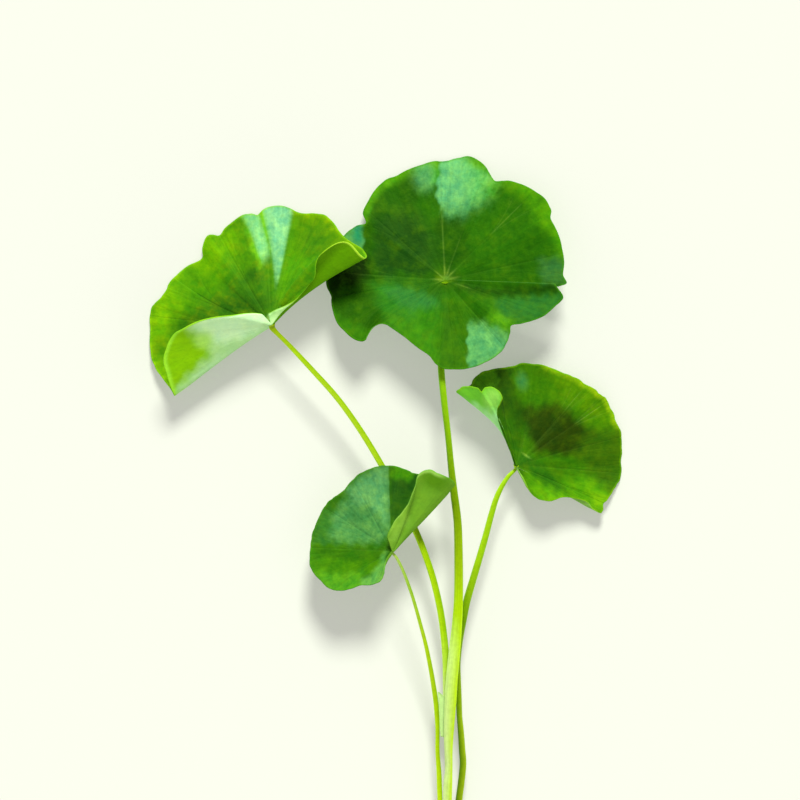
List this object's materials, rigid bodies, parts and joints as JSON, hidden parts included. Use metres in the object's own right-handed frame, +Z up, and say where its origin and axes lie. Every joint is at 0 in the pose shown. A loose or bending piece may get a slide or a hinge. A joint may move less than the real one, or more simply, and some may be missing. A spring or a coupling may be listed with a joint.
{
  "type": "gotu kola sprig",
  "caption": "Picked gotu kola sprig lying flat: round leaves with folded basal lobes on thin petioles that grow from a small crown.",
  "frame": {"origin": "middle of the underside of the sprig's box, on the surface that it lies on", "axes": "+Y along the sprig from the crown to the leaves, +X to the right as seen from above, +Z up from the surface"},
  "size_m": [0.0944, 0.1466, 0.0176],
  "materials": {
    "leaf_left": "living leaf, yellow-green and waxy above, paler and matt beneath",
    "leaf_centre": "living leaf, deep green and waxy above, paler and matt beneath",
    "leaf_right": "living leaf, olive to yellow-green and waxy above, light green beneath",
    "leaf_small": "living leaf, blue-green and waxy above, light green beneath",
    "stem": "juicy petiole, yellow-green, satin",
    "stem_right": "juicy petiole, mid green, satin",
    "crown": "fibrous plant base, pale yellow-green to straw"
  },
  "bodies": {
    "root": {"leaf_left": "leaf_left", "leaf_centre": "leaf_centre", "leaf_right": "leaf_right", "leaf_small": "leaf_small", "stem_left": "stem", "stem_centre": "stem", "stem_right": "stem_right", "stem_small": "stem", "crown": "crown"}
  },
  "joints": []
}
